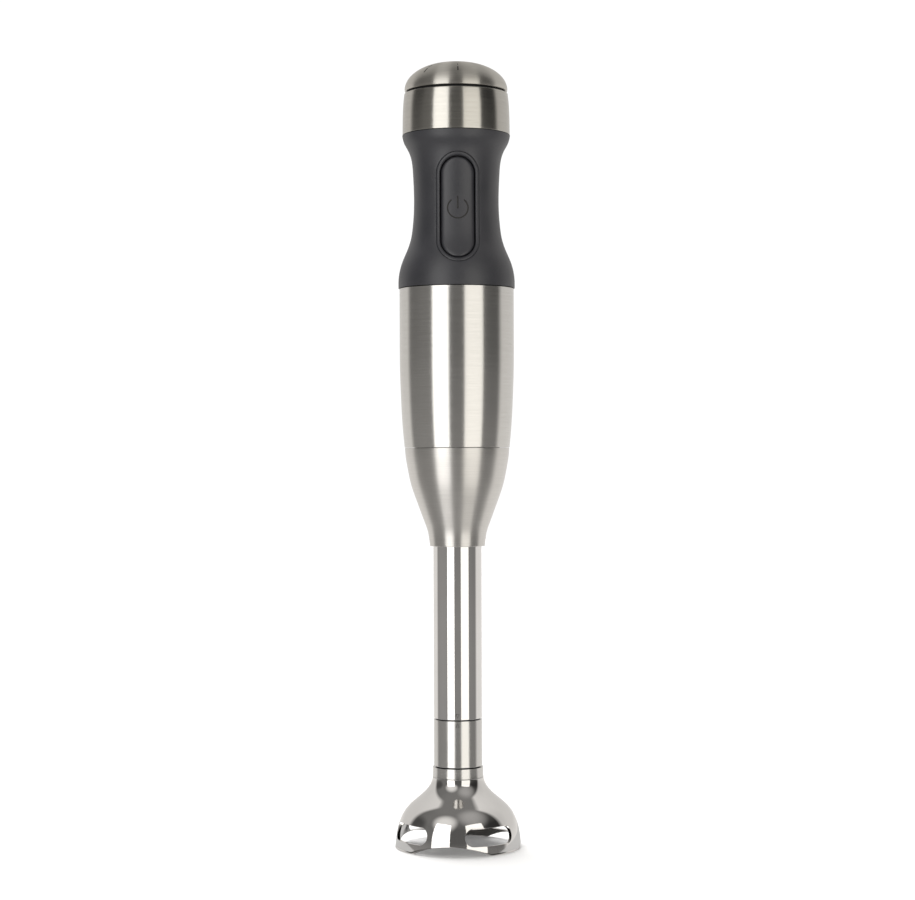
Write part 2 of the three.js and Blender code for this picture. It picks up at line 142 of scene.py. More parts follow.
def filleted(loop, radius):
    """A closed loop with its sharp corners rounded, and a point beside each fillet to hold the flats."""
    p = np.array(loop, float)
    made = []
    for i, corner in enumerate(p):
        before = p[i - 1] - corner
        after = p[(i + 1) % len(p)] - corner
        reach = [np.linalg.norm(before), np.linalg.norm(after)]
        straight = -before @ after / (reach[0] * reach[1] + 1e-12)
        if straight > math.cos(math.radians(25)) or corner[0] < 1e-6:
            made.append(corner)
            continue
        trim = min(radius, 0.4 * min(reach))
        start = corner + before / reach[0] * trim
        end = corner + after / reach[1] * trim
        if reach[0] > 4 * trim:
            made.append(corner + before / reach[0] * trim * 1.5)
        for t in (0, 0.25, 0.5, 0.75, 1):
            made.append((1 - t) ** 2 * start + 2 * t * (1 - t) * corner + t ** 2 * end)
        if reach[1] > 4 * trim:
            made.append(corner + after / reach[1] * trim * 1.5)
    return made


# ------------------------------------------------------------------ mesh building
def place(radius, angle, height):
    """A point on a circle round the axis, in metres."""
    a = math.radians(angle)
    return Vector((radius * math.sin(a), -radius * math.cos(a), height)) * MM


def piece(name, verts, faces, body, slot, finish, *nodes):
    """A smooth mesh that rides a body, with the finish given, in place of the CAD nodes named. The slot is
    not used.
    """
    mesh = bpy.data.meshes.new(name)
    mesh.from_pydata([tuple(v) for v in verts], [], faces)
    mesh.update()
    joiner = bmesh.new()
    joiner.from_mesh(mesh)
    bmesh.ops.remove_doubles(joiner, verts=joiner.verts, dist=1e-7)
    bmesh.ops.recalc_face_normals(joiner, faces=joiner.faces)
    joiner.to_mesh(mesh)
    joiner.free()
    for face in mesh.polygons:
        face.use_smooth = True
    obj = bpy.data.objects.new(name, mesh)
    bpy.context.scene.collection.objects.link(obj)
    mesh.materials.append(finish)
    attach(obj, body)
    if nodes:
        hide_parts(*nodes)
    return obj


def thick_piece(name, skin, wall, edge, body, slot, finish, *nodes):
    """A piece made from an outer skin, thickened inwards, with its edges rounded over."""
    outward = max(skin.faces, key=lambda face: face.calc_center_median().x)
    if outward.normal.x < 0:
        bmesh.ops.reverse_faces(skin, faces=skin.faces)
    mesh = bpy.data.meshes.new(name)
    skin.to_mesh(mesh)
    skin.free()
    for face in mesh.polygons:
        face.use_smooth = True
    obj = bpy.data.objects.new(name, mesh)
    bpy.context.scene.collection.objects.link(obj)
    mesh.materials.append(finish)
    thicken = obj.modifiers.new("wall", "SOLIDIFY")
    thicken.thickness = wall * MM
    thicken.offset = -1
    round_over = obj.modifiers.new("edges", "BEVEL")
    round_over.width = edge * MM
    round_over.segments = 4
    round_over.limit_method = "ANGLE"
    round_over.angle_limit = math.radians(50)
    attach(obj, body)
    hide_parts(*nodes)
    return obj


def turned(loop, sides=SIDES):
    """Vertices and faces of a closed (radius, height) loop turned round the axis."""
    verts = []
    for i in range(sides):
        angle = 360 * i / sides
        verts += [place(r, angle, z) for r, z in loop]
    n = len(loop)
    faces = []
    for i in range(sides):
        j = (i + 1) % sides
        for k in range(n):
            m = (k + 1) % n
            faces.append((i * n + k, j * n + k, j * n + m, i * n + m))
    return verts, faces


def shell_loop(outline, wall, edge=0.25):
    outside = list(outline)
    return filleted(outside + list(inset(outline, wall))[::-1], edge)


def ring_piece(name, loop, body, slot, finish, *nodes, edge=0.3, sides=RING_SIDES):
    return piece(name, *turned(filleted(loop, edge), sides), body, slot, finish, *nodes)


def rows_to_faces(rows, columns, closed=True):
    """Faces of a grid of vertices laid out row by row."""
    faces = []
    for i in range(rows - 1):
        for j in range(columns if closed else columns - 1):
            k = (j + 1) % columns
            below, above = i * columns, (i + 1) * columns
            faces.append((below + j, below + k, above + k, above + j))
    return faces


# ------------------------------------------------------------------ finishes
def new_material(name):
    material = bpy.data.materials.new(name)
    material.use_nodes = True
    nodes = material.node_tree.nodes
    return material, nodes, material.node_tree.links, nodes["Principled BSDF"]


def add_noise(nodes, links, scale, detail=4.0, roughness=0.55, stretch=(1, 1, 1)):
    """Noise on the object's own coordinates, stretched along its axes."""
    where = nodes.new("ShaderNodeTexCoord")
    mapping = nodes.new("ShaderNodeMapping")
    mapping.inputs["Scale"].default_value = stretch
    noise = nodes.new("ShaderNodeTexNoise")
    noise.inputs["Scale"].default_value = scale
    noise.inputs["Detail"].default_value = detail
    noise.inputs["Roughness"].default_value = roughness
    links.new(where.outputs["Object"], mapping.inputs["Vector"])
    links.new(mapping.outputs["Vector"], noise.inputs["Vector"])
    return noise.outputs["Fac"]


def add_range(nodes, links, value, low_value, high_value, start=0.3, end=0.7):
    ranged = nodes.new("ShaderNodeMapRange")
    ranged.inputs["From Min"].default_value = start
    ranged.inputs["From Max"].default_value = end
    ranged.inputs["To Min"].default_value = low_value
    ranged.inputs["To Max"].default_value = high_value
    links.new(value, ranged.inputs["Value"])
    return ranged.outputs["Result"]


def add_mix(nodes, links, value, first, second):
    ramp = nodes.new("ShaderNodeValToRGB")
    ramp.color_ramp.elements[0].position = 0.3
    ramp.color_ramp.elements[0].color = (*first, 1)
    ramp.color_ramp.elements[1].position = 0.7
    ramp.color_ramp.elements[1].color = (*second, 1)
    links.new(value, ramp.inputs["Fac"])
    return ramp.outputs["Color"]


def add_bump(nodes, links, shader, value, distance_mm, strength=1.0):
    bump = nodes.new("ShaderNodeBump")
    bump.inputs["Distance"].default_value = distance_mm * MM
    bump.inputs["Strength"].default_value = strength
    links.new(value, bump.inputs["Height"])
    links.new(bump.outputs["Normal"], shader.inputs["Normal"])


def brushed(name, dark, light, rough, smooth, anisotropy, grain=3400):
    """Steel brushed round the axis: lines that run round the piece, so it reflects in upright bands."""
    material, nodes, links, shader = new_material(name)
    shader.inputs["Metallic"].default_value = 1
    shader.inputs["Anisotropic"].default_value = anisotropy
    tangent = nodes.new("ShaderNodeTangent")
    tangent.direction_type = "RADIAL"
    tangent.axis = "Z"
    links.new(tangent.outputs["Tangent"], shader.inputs["Tangent"])
    shader.inputs["Anisotropic Rotation"].default_value = 0.25
    lines = add_noise(nodes, links, 1, detail=4, roughness=0.75, stretch=(55, 55, grain))
    fine = add_noise(nodes, links, 1, detail=3, stretch=(90, 90, 5200))
    links.new(add_mix(nodes, links, lines, dark, light), shader.inputs["Base Color"])
    links.new(add_range(nodes, links, lines, smooth, rough), shader.inputs["Roughness"])
    add_bump(nodes, links, shader, fine, 0.004, 0.5)
    return material


def polished(name, colour, smooth, rough, wave=0.004):
    """Polished steel with faint handling marks."""
    material, nodes, links, shader = new_material(name)
    shader.inputs["Metallic"].default_value = 1
    smudges = add_noise(nodes, links, 55, detail=6)
    darker = tuple(c * 0.95 for c in colour)
    links.new(add_mix(nodes, links, smudges, darker, colour), shader.inputs["Base Color"])
    links.new(add_range(nodes, links, smudges, smooth, rough), shader.inputs["Roughness"])
    add_bump(nodes, links, shader, add_noise(nodes, links, 1, detail=1, stretch=(60, 60, 90)), wave)
    return material


def moulded(name, dark, light, rough, smooth, grain=2600, relief=0.012, gloss=0.5, metallic=0.0):
    """A moulded or cast surface: fine grain, slight change of tone, uneven gloss."""
    material, nodes, links, shader = new_material(name)
    shader.inputs["Metallic"].default_value = metallic
    shader.inputs["Specular IOR Level"].default_value = gloss
    tone = add_noise(nodes, links, 38, detail=5)
    links.new(add_mix(nodes, links, tone, dark, light), shader.inputs["Base Color"])
    links.new(add_range(nodes, links, tone, smooth, rough), shader.inputs["Roughness"])
    add_bump(nodes, links, shader, add_noise(nodes, links, grain, detail=3), relief, 0.6)
    return material


FINISHES = {
    "brushed_steel": brushed("brushed_steel", (0.62, 0.607, 0.58), (0.72, 0.705, 0.68), 0.25, 0.18, 0.75),
    "satin_steel": brushed("satin_steel", (0.66, 0.643, 0.615), (0.76, 0.74, 0.71), 0.38, 0.31, 0.82),
    "polished_steel": polished("polished_steel", (0.82, 0.806, 0.79), 0.035, 0.075),
    "soft_grip": moulded("soft_grip", (0.034, 0.035, 0.042), (0.05, 0.05, 0.058), 0.5, 0.38, gloss=0.75),
    "black_plastic": moulded("black_plastic", (0.012, 0.012, 0.013), (0.02, 0.02, 0.021), 0.55, 0.4),
    "rubber": moulded("rubber", (0.014, 0.014, 0.014), (0.024, 0.024, 0.024), 0.85, 0.7, relief=0.02),
    "lamination": moulded("lamination", (0.1, 0.1, 0.11), (0.16, 0.16, 0.17), 0.6, 0.42, metallic=0.8),
    "copper": moulded("copper", (0.45, 0.17, 0.07), (0.62, 0.27, 0.12), 0.42, 0.25, metallic=1),
    "brass": moulded("brass", (0.5, 0.34, 0.12), (0.62, 0.44, 0.17), 0.4, 0.25, metallic=1),
    "carbon": moulded("carbon", (0.016, 0.016, 0.018), (0.03, 0.03, 0.032), 0.8, 0.6),
    "circuit_board": moulded("circuit_board", (0.012, 0.08, 0.03), (0.02, 0.13, 0.05), 0.45, 0.3),
    "component": moulded("component", (0.03, 0.07, 0.18), (0.05, 0.1, 0.25), 0.4, 0.25),
    "steel": moulded("steel", (0.4, 0.4, 0.41), (0.55, 0.55, 0.56), 0.38, 0.22, metallic=1),
    "aluminium": moulded("aluminium", (0.5, 0.51, 0.53), (0.62, 0.63, 0.65), 0.5, 0.35, metallic=1),
}
# The same slots in a slightly different state: the head's darker brushing and the neck's duller polish
HEAD_STEEL = brushed("head_steel", (0.49, 0.473, 0.435), (0.58, 0.562, 0.52), 0.25, 0.18, 0.75)
DIAL_STEEL = brushed("dial_steel", (0.53, 0.512, 0.472), (0.62, 0.6, 0.552), 0.37, 0.31, 0.99, 3000)
NECK_STEEL = polished("neck_steel", (0.68, 0.668, 0.648), 0.16, 0.22)
# MARK darkens the dial's and the tube's marks. On the power symbol it is painted shade for an engraved
# groove.
MARK = moulded("dark_mark", (0.02, 0.019, 0.018), (0.035, 0.033, 0.03), 0.7, 0.55)


def finish_cad_nodes():
    for row in frame["record"]["subparts"]:
        obj = frame["nodes"][row["node"]]
        obj.data.materials.clear()
        obj.data.materials.append(FINISHES[row["material_slot"]])


# ------------------------------------------------------------------ speed dial
DOME_FOOT = DIAL_FOOT + 1.1
DOME_RISE = DIAL_TOP - DOME_FOOT


def dome_outline(shrink, count=40):
    radius = DIAL_RADIUS - shrink
    points = [(radius - 0.15, DIAL_FOOT)]
    for i in range(count + 1):
        share = math.sin(i / count * math.pi / 2)
        r = radius * max(1 - share ** 1.9, 0) ** (1 / 2.3)
        points.append((r, DOME_FOOT + (DOME_RISE - shrink) * share))
    return points


def dome_point(angle, arc):
    """A point on the dome at an angle, at a distance along the meridian from the foot, and its normal."""
    outline = np.array(dome_outline(0, 200))
    along = np.concatenate([[0], np.cumsum(np.hypot(*np.diff(outline, axis=0).T))])
    r = np.interp(arc, along, outline[:, 0])
    z = np.interp(arc, along, outline[:, 1])
    ahead = np.interp(arc + 0.3, along, outline[:, 0]), np.interp(arc + 0.3, along, outline[:, 1])
    normal = Vector((ahead[1] - z, 0, r - ahead[0])).normalized()
    a = math.radians(angle)
    outward = Vector((math.sin(a), -math.cos(a), 0)) * normal.x + Vector((0, 0, normal.z))
    return place(r, angle, z), outward


def raised_strip(path, width, lift, where):
    """A thin raised strip along a path of (across, along) points, laid on a surface by where()."""
    verts, faces = [], []
    half = width / 2
    sink = -0.05
    for i, (u, v) in enumerate(path):
        before = path[max(i - 1, 0)]
        after = path[min(i + 1, len(path) - 1)]
        direction = Vector((after[0] - before[0], after[1] - before[1])).normalized()
        side = Vector((-direction.y, direction.x)) * half
        for sign, height in ((1, sink), (1, lift), (-1, lift), (-1, sink)):
            point, normal = where(u + sign * side.x, v + sign * side.y)
            verts.append(point + normal * height * MM)
    for i in range(len(path) - 1):
        for k in range(4):
            m = (k + 1) % 4
            faces.append((4 * i + k, 4 * i + m, 4 * i + 4 + m, 4 * i + 4 + k))
    last = 4 * (len(path) - 1)
    faces += [(3, 2, 1, 0), (last, last + 1, last + 2, last + 3)]
    return verts, faces


def line(start, end, count=8):
    start, end = np.array(start), np.array(end)
    return [tuple(start + (end - start) * i / count) for i in range(count + 1)]


# Strokes of the numerals 1 to 5 in a box 1 wide and 1.6 high
NUMERALS = [
    [[(0.3, 1.3), (0.55, 1.6), (0.55, 0)]],
    [[(0.05, 1.25), (0.3, 1.58), (0.7, 1.58), (0.92, 1.2), (0.8, 0.8), (0.05, 0), (0.95, 0)]],
    [[(0.08, 1.6), (0.9, 1.6), (0.45, 0.95), (0.85, 0.7), (0.85, 0.25), (0.5, 0), (0.05, 0.2)]],
    [[(0.7, 0), (0.7, 1.6), (0.05, 0.45), (0.98, 0.45)]],
    [[(0.88, 1.6), (0.15, 1.6), (0.1, 0.92), (0.55, 1.02), (0.9, 0.7), (0.85, 0.2), (0.5, 0),
      (0.05, 0.15)]],
]


def make_dial():
    wall = 1.2
    loop = dome_outline(0) + dome_outline(wall)[::-1]
    piece("dial_cap_fine", *turned(filleted(loop, 0.25)), "dial", "brushed_steel",
          DIAL_STEEL, "dial_cap")
    first_tick, spacing, mark_radius = 0.5, 45, 21
    tick_foot, tick_length = 8.05, 3.7
    numeral_foot, numeral_width, numeral_scale = tick_foot + 5.1, 1.5, 1.35
    for i, strokes in enumerate(NUMERALS):
        angle = first_tick - spacing * i

        def on_dome(across, along, angle=angle):
            turn = math.degrees(across / mark_radius)
            return dome_point(angle + turn, along)

        tick = line((0, tick_foot), (0, tick_foot + tick_length))
        piece(f"dial_tick_{i + 1}", *raised_strip(tick, 0.6, 0.05, on_dome),
              "dial", "brushed_steel", MARK)
        for k, stroke in enumerate(strokes):
            path = [(numeral_width * (x - 0.5), numeral_foot + numeral_scale * y) for x, y in stroke]
            piece(f"dial_numeral_{i + 1}_{k + 1}", *raised_strip(path, 0.3, 0.04, on_dome),
                  "dial", "brushed_steel", MARK)


# ------------------------------------------------------------------ head and cord gland
def make_head():
    collar = spline(COLLAR_OUTLINE, 24)
    piece("collar_band_fine", *turned(shell_loop(collar, SHEET)), "handle", "brushed_steel",
          HEAD_STEEL, "collar_band")
    plastic = FINISHES["black_plastic"]
    rim = high("top_frame")
    foot, ledge = COLLAR_TOP - 8, rim - 3
    ring_piece("top_frame_fine", [(22, foot), (26.2, foot), (26, rim), (9, rim), (9, ledge), (22, ledge)],
               "handle", "black_plastic", plastic, "top_frame", sides=SIDES)
    top = DIAL_FOOT - 0.2
    ring_piece("dial_bezel", [(20, rim), (26.2, rim), (25.8, top), (20, top)],
               "handle", "black_plastic", plastic, edge=0.15, sides=SIDES)
    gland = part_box("cord_gland")
    middle = (gland[0].z + gland[1].z) / 2 / MM
    tip = gland[1].y / MM
    bore = 3.6
    ribs = [(6.4, tip - 4.6), (6.4, tip - 3.5), (5.6, tip - 3.1), (5.2, tip - 2.7), (5.2, tip - 2.2),
            (5.5, tip - 1.9), (5.1, tip - 1.5), (5.1, tip - 1.1), (5.3, tip - 0.8), (4.8, tip)]
    loop = [(bore, tip - 12), (5.2, tip - 12), (5.2, tip - 4.8)] + ribs + [(bore, tip)]
    verts, faces = turned(filleted(loop, 0.2), RING_SIDES)
    turn = Matrix.Translation((0, 0, middle * MM)) @ Matrix.Rotation(math.radians(-90), 4, "X")
    piece("cord_gland_fine", [turn @ v for v in verts], faces, "handle", "rubber",
          FINISHES["rubber"], "cord_gland")


# ------------------------------------------------------------------ grip and power button
STADIUM_HALF = (BUTTON_HEIGHT - BUTTON_WIDTH) / 2
grip_curve = spline(GRIP_OUTLINE, 260)


def grip_radius(z):
    return np.interp(z, grip_curve[:, 1], grip_curve[:, 0])


def on_grip(x, z, lift=0.0):
    """The grip's front surface at a place across and up, raised by a small height."""
    r = grip_radius(z) + lift
    return Vector((x, -math.sqrt(max(r * r - x * x, 0)), z)) * MM


def stadium_points(offset, arc_steps=24, straight_steps=30):
    """Points round the button's outline, moved out by an offset, in (across, up) from its centre."""
    r = BUTTON_WIDTH / 2 + offset
    points = []
    for i in range(arc_steps + 1):
        a = math.pi * i / arc_steps
        points.append((r * math.cos(a), STADIUM_HALF + r * math.sin(a)))
    for i in range(1, straight_steps):
        points.append((-r, STADIUM_HALF * (1 - 2 * i / straight_steps)))
    for i in range(arc_steps + 1):
        a = math.pi * (1 + i / arc_steps)
        points.append((r * math.cos(a), -STADIUM_HALF + r * math.sin(a)))
    for i in range(1, straight_steps):
        points.append((r, -STADIUM_HALF * (1 - 2 * i / straight_steps)))
    return points


def stadium_rings(section):
    """A surface swept round the button: section lists (offset, lift) from the inside out."""
    verts = []
    for offset, lift in section:
        verts += [on_grip(x, BUTTON_CENTRE + z, lift) for x, z in stadium_points(offset)]
    columns = len(stadium_points(0))
    return verts, rows_to_faces(len(section), columns)


def stadium_distance(x, z):
    """How far a place is outside the button's outline."""
    dz = max(abs(z - BUTTON_CENTRE) - STADIUM_HALF, 0)
    return math.hypot(x, dz) - BUTTON_WIDTH / 2


def make_grip():
    opening = 2.45
    wall = 1.8
    columns, rows = 240, 150
    outline = spline(GRIP_OUTLINE, rows)
    skin = bmesh.new()
    grid = [[skin.verts.new(place(r, 360 * j / columns, z)) for j in range(columns)] for r, z in outline]
    for i in range(rows - 1):
        for j in range(columns):
            k = (j + 1) % columns
            skin.faces.new((grid[i][j], grid[i][k], grid[i + 1][k], grid[i + 1][j]))
    inside = [v for v in skin.verts
              if v.co.y < 0 and stadium_distance(v.co.x / MM, v.co.z / MM) < opening]
    bmesh.ops.delete(skin, geom=inside, context="VERTS")
    rim = [v for v in skin.verts if v.is_boundary and GRIP_FOOT + 2 < v.co.z / MM < GRIP_TOP - 2]
    for v in rim:
        x, z = v.co.x / MM, v.co.z / MM
        dz = max(abs(z - BUTTON_CENTRE) - STADIUM_HALF, 0) * (1 if z > BUTTON_CENTRE else -1)
        scale = (BUTTON_WIDTH / 2 + opening) / math.hypot(x, dz)
        v.co = on_grip(x * scale, z - dz + dz * scale)
    thick_piece("grip_cover_fine", skin, wall, 0.35, "handle", "soft_grip",
                FINISHES["soft_grip"], "grip_cover")


def make_button():
    surround = [(0.3, -3.0), (0.32, -0.75), (0.42, -0.42), (0.6, -0.12), (0.85, 0.1), (1.15, 0.2),
                (1.5, 0.22), (1.85, 0.16), (2.1, 0.03), (2.25, -0.15), (2.33, -0.4), (2.35, -3.0)]
    columns = len(stadium_points(0))
    verts, faces = stadium_rings(surround)
    last = (len(surround) - 1) * columns
    faces += [(last + j, last + (j + 1) % columns, (j + 1) % columns, j) for j in range(columns)]
    piece("button_surround", verts, faces, "handle", "soft_grip", FINISHES["soft_grip"])
    # Across the pad from its middle line to its edge, then down its side and in underneath
    crown, depth = 0.8, 3.6
    half = BUTTON_WIDTH / 2
    pad = [(-half, -crown), (-7.5, -crown), (-5.5, -crown), (-3.5, -crown), (-2.3, -crown - 0.02),
           (-1.6, -crown - 0.08), (-1.0, -crown - 0.24), (-0.55, -crown - 0.5), (-0.2, -crown - 0.95),
           (0, -crown - 1.5), (0, -depth), (-half, -depth)]
    piece("power_button_fine", *stadium_rings(pad), "button", "soft_grip", FINISHES["soft_grip"],
          "power_button")

    def on_pad(x, z):
        point = on_grip(x, z, -crown)
        normal = Vector((point.x, point.y, 0)).normalized()
        return point, normal

    # The power symbol is made of dark raised strips. Their dark colour is painted shade, standing in for the
    # shade inside the symbol's engraved groove.
    ring_radius, gap_angle, symbol = 5.3, 37, BUTTON_CENTRE - 0.4
    angles = np.radians(np.linspace(90 + gap_angle, 450 - gap_angle, 56))
    ring = [(ring_radius * math.cos(a), symbol + ring_radius * math.sin(a)) for a in angles]
    bar = line((0, symbol - 0.3), (0, symbol + 5.9))
    for name, path in (("power_ring", ring), ("power_bar", bar)):
        piece(name, *raised_strip(path, 0.66, 0.06, on_pad), "button", "soft_grip", MARK)


# ------------------------------------------------------------------ motor sleeve and arm
def make_sleeve_and_arm():
    steel, satin, polish = (FINISHES[n] for n in ("brushed_steel", "satin_steel", "polished_steel"))
    piece("motor_sleeve_fine", *turned(shell_loop(spline(SLEEVE_OUTLINE, 60), SHEET, 0.2)),
          "handle", "brushed_steel", steel, "motor_sleeve")
    piece("arm_funnel_fine", *turned(shell_loop(spline(FUNNEL_OUTLINE, 70), 1.6, 0.25)),
          "arm", "satin_steel", satin, "arm_funnel")
    for node, body, foot, top, finish in (("arm_tube", "arm", TUBE_FOOT, high("arm_tube"), polish),
                                          ("bell_neck", "bell", NECK_FOOT, NECK_TOP, NECK_STEEL)):
        bore = TUBE_RADIUS - 1
        ring_piece(f"{node}_fine", [(bore, foot), (TUBE_RADIUS, foot), (TUBE_RADIUS, top), (bore, top)],
                   body, "polished_steel", finish, node, edge=0.2, sides=SIDES)
    arrow_angle = -3

    def on_tube(across, along):
        angle = arrow_angle + math.degrees(across / TUBE_RADIUS)
        point = place(TUBE_RADIUS, angle, along)
        return point, Vector((point.x, point.y, 0)).normalized()

    seam = (TUBE_FOOT + NECK_TOP) / 2
    for name, body, away in (("arm_arrow", "arm", 1), ("bell_arrow", "bell", -1)):
        foot, tip = seam + away * 3.4, seam + away * 1.5
        path = [(-0.9, foot), (0, tip), (0.9, foot), (-0.9, foot)]
        piece(name, *raised_strip(path, 0.28, 0.03, on_tube), body, "polished_steel", MARK)


# ------------------------------------------------------------------ bell
ARCH_ANGLES = (-10, 110, 230)
ARCH_HALF_ANGLE = 38.5
ARCH_RISE = 5
SLOT_ANGLES = (31, 121, 211, 301)
SLOT_HALF_ANGLE = 26.7
SLOT_RADIUS = 4.5
SLOT_CENTRE = 9.7
SLOT_WALL_RADIUS = 31.2
SLOTS_END = 22  # the height above which the rows of the bell's mesh are level
FOOT_LIFT = 0.2  # the wall's inner edge stands on the ground, so its tilted outer edge clears it
BELL_SEAT = 36.9  # the full polish ends here and the duller top ring begins
BELL_COLUMNS = 360
BELL_ROWS = 112


def turn_between(a, b):
    return (a - b + 180) % 360 - 180


def arch_height(angle):
    """How far the rim is lifted off the ground at an angle: a low arc at each arch."""
    for middle in ARCH_ANGLES:
        share = abs(turn_between(angle, middle)) / ARCH_HALF_ANGLE
        if share < 1:
            return ARCH_RISE * (1 - share ** 2)
    return 0.0


bell_curve = spline(BELL_OUTLINE, 500)
bell_length = np.concatenate([[0], np.cumsum(np.hypot(*np.diff(bell_curve, axis=0).T))])


def length_at(height):
    """The distance up the bell's wall at a height."""
    return np.interp(height, bell_curve[:, 1], bell_length)


def on_bell(angle, along):
    radius = np.interp(along, bell_length, bell_curve[:, 0])
    return place(radius, angle, np.interp(along, bell_length, bell_curve[:, 1]))


def bell_row(angle, row):
    """The distance up the wall of a row: rows start at the scalloped rim and even out above the slots."""
    start = length_at(arch_height(angle) + FOOT_LIFT)
    level = length_at(SLOTS_END)
    even = row / (BELL_ROWS - 1) * length_at(BELL_SEAT)
    if even >= level:
        return even
    return start + even * (level - start) / level


def slot_edge(towards):
    """The place on a slot's outline (across, up) in a direction from its centre."""
    across, up = towards
    straight = math.radians(SLOT_HALF_ANGLE) * SLOT_WALL_RADIUS - SLOT_RADIUS
    if abs(up) * straight > abs(across) * SLOT_RADIUS:
        return across * SLOT_RADIUS / abs(up), math.copysign(SLOT_RADIUS, up)
    square = across ** 2 + up ** 2
    middle = abs(across) * straight
    reach = (middle + math.sqrt(middle ** 2 - square * (straight ** 2 - SLOT_RADIUS ** 2))) / square
    return across * reach, up * reach


def add_slot(skin, grid, angle):
    """Rings of vertices from a rectangle of the bell's grid, which starts at the rim, to a slot's edge."""
    margin_angle, margin_height = 4, 6.6
    half_columns = round((SLOT_HALF_ANGLE + margin_angle) * BELL_COLUMNS / 360)
    middle = round(angle * BELL_COLUMNS / 360)
    left, right = middle - half_columns, middle + half_columns
    above_slot = length_at(SLOT_CENTRE + margin_height)
    high_row = min(i for i in range(BELL_ROWS) if bell_row(angle, i) > above_slot)
    border = [(0, j) for j in range(left, right)]
    border += [(i, right) for i in range(high_row)]
    border += [(high_row, j) for j in range(right, left, -1)]
    border += [(i, left) for i in range(high_row, 0, -1)]
    outer = [(360 * j / BELL_COLUMNS, bell_row(360 * j / BELL_COLUMNS, i)) for i, j in border]
    inner = []
    for turn, along in outer:
        across = math.radians(turn - angle) * SLOT_WALL_RADIUS
        up = np.interp(along, bell_length, bell_curve[:, 1]) - SLOT_CENTRE
        across, up = slot_edge((across, up))
        inner.append((angle + math.degrees(across / SLOT_WALL_RADIUS), length_at(SLOT_CENTRE + up)))
    rings = [[grid[i][j % BELL_COLUMNS] for i, j in border]]
    steps = 8
    for step in range(1, steps + 1):
        share = 1 - (1 - step / steps) ** 1.6
        blend = [(a + (c - a) * share, b + (d - b) * share) for (a, b), (c, d) in zip(outer, inner)]
        rings.append([skin.verts.new(on_bell(*point)) for point in blend])
    count = len(border)
    for outside, inside in zip(rings, rings[1:]):
        for k in range(count):
            m = (k + 1) % count
            skin.faces.new((outside[k], outside[m], inside[m], inside[k]))
    return {(i, j % BELL_COLUMNS) for i in range(high_row) for j in range(left, right)}


def make_bell():
    wall, ring_wall, edge = 1.6, 1.5, 0.25
    skin = bmesh.new()
    grid = [[skin.verts.new(on_bell(360 * j / BELL_COLUMNS, bell_row(360 * j / BELL_COLUMNS, i)))
             for j in range(BELL_COLUMNS)] for i in range(BELL_ROWS)]
    skipped = set()
    for angle in SLOT_ANGLES:
        skipped |= add_slot(skin, grid, angle)
    for i in range(BELL_ROWS - 1):
        for j in range(BELL_COLUMNS):
            if (i, j) not in skipped:
                k = (j + 1) % BELL_COLUMNS
                skin.faces.new((grid[i][j], grid[i][k], grid[i + 1][k], grid[i + 1][j]))
    loose = [v for v in skin.verts if not v.link_faces]
    bmesh.ops.delete(skin, geom=loose, context="VERTS")
    bmesh.ops.recalc_face_normals(skin, faces=skin.faces)
    thick_piece("bell_guard_fine", skin, wall, edge, "bell", "polished_steel",
                FINISHES["polished_steel"], "bell_guard")
    ring = [point for point in spline(BELL_OUTLINE, 300) if point[1] > BELL_SEAT]
    piece("bell_top_ring", *turned(shell_loop(ring, ring_wall, 0.04)), "bell", "polished_steel",
          NECK_STEEL)


# ------------------------------------------------------------------ couplings and cutter
MATERIAL_SLOT = {row["node"]: row["material_slot"] for row in frame["record"]["subparts"]}
BODY_OF = {node: body for body, nodes in frame["record"]["behaviour"]["bodies"].items() for node in nodes}
SHAFT_RADIUS = 3
SHAFT_END_RADIUS = 2.5
BUSHING_BORE = 3.3
DOG_RADIUS = 7
TOOTH_RADIUS = 3.8  # the inner radius of a drive tooth
TOOTH_DOWN = 4.7  # how far a tooth under its disc reaches
TOOTH_UP = 4.8
TOOTH_ROOT = 0.5  # how deep a tooth starts inside its disc
TOOTH_HALF_ANGLE = 19
NOSE_RADIUS = 22.4  # of the handle's base
SPIGOT_RADIUS = 11.2
SPIGOT_BORE = 7.8


def ring_shape(inner, outer, foot, top):
    return turned([(inner, foot), (outer, foot), (outer, top), (inner, top)], RING_SIDES)


def sector_shape(inner, outer, foot, top, middle, half_angle, sides=14):
    """A closed piece of a ring, such as a lug or a drive tooth."""
    verts, faces = [], []
    for i in range(sides + 1):
        angle = middle - half_angle + 2 * half_angle * i / sides
        verts += [place(inner, angle, foot), place(outer, angle, foot), place(outer, angle, top),
                  place(inner, angle, top)]
    for i in range(sides):
        for k in range(4):
            m = (k + 1) % 4
            faces.append((4 * i + k, 4 * i + m, 4 * i + 4 + m, 4 * i + 4 + k))
    faces += [(3, 2, 1, 0), tuple(range(4 * sides, 4 * sides + 4))]
    return verts, faces


def joined(*shapes):
    verts, faces = [], []
    for more_verts, more_faces in shapes:
        faces += [tuple(k + len(verts) for k in face) for face in more_faces]
        verts += more_verts
    return verts, faces


def inner_piece(node, *shapes, edge=0.3):
    """A CAD node made again as a fine mesh from closed shapes, with its edges rounded over."""
    slot = MATERIAL_SLOT[node]
    obj = piece(f"{node}_fine", *joined(*shapes), BODY_OF[node], slot, FINISHES[slot], node)
    round_over = obj.modifiers.new("edges", "BEVEL")
    round_over.width = edge * MM
    round_over.segments = 3
    round_over.limit_method = "ANGLE"
    round_over.angle_limit = math.radians(40)
    round_over.harden_normals = True


def inner_ring(node, inner, outer):
    """A plain ring as high as its CAD node."""
    inner_piece(node, ring_shape(inner, outer, low(node), high(node)))


